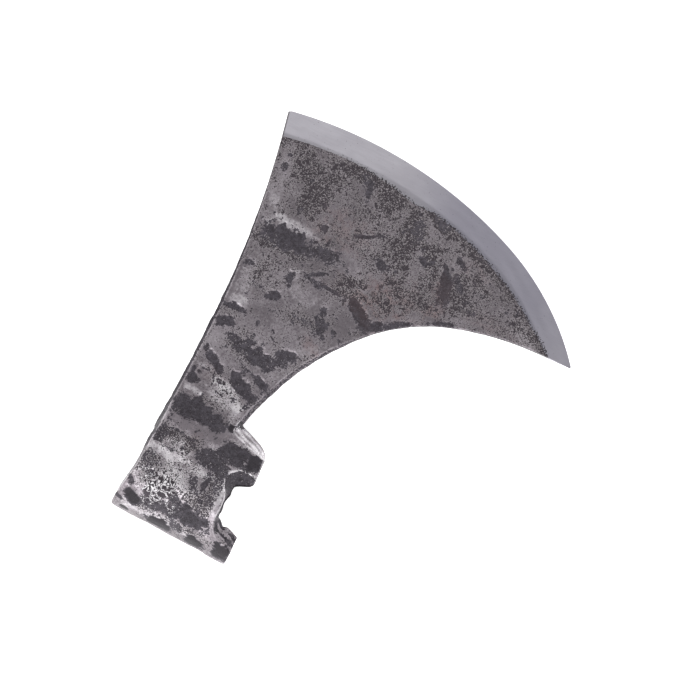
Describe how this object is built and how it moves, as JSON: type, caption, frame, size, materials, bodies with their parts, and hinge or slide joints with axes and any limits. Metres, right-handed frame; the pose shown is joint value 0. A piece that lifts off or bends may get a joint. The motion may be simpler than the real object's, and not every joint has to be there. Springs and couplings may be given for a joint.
{
  "type": "broad axe head",
  "caption": "Bearded broad axe head, hand forged, with a round lugged haft eye and a wide curved cutting edge.",
  "frame": {"origin": "centre of the haft eye, on its axis", "axes": "+X from the poll to the cutting edge, +Y along the haft eye to the top of the head, +Z square to the blade; the head lies on its lower cheek"},
  "size_m": [0.2117, 0.1756, 0.0494],
  "materials": {
    "forged_iron": "hand-forged iron, pitted, with dark scale in the hammer marks and bare rubbed high spots",
    "ground_steel": "bright ground bevel, brushed along the edge"
  },
  "bodies": {
    "root": {"upper_cheek": "forged_iron", "lower_cheek": "forged_iron", "steel_bit": "ground_steel"}
  },
  "joints": []
}
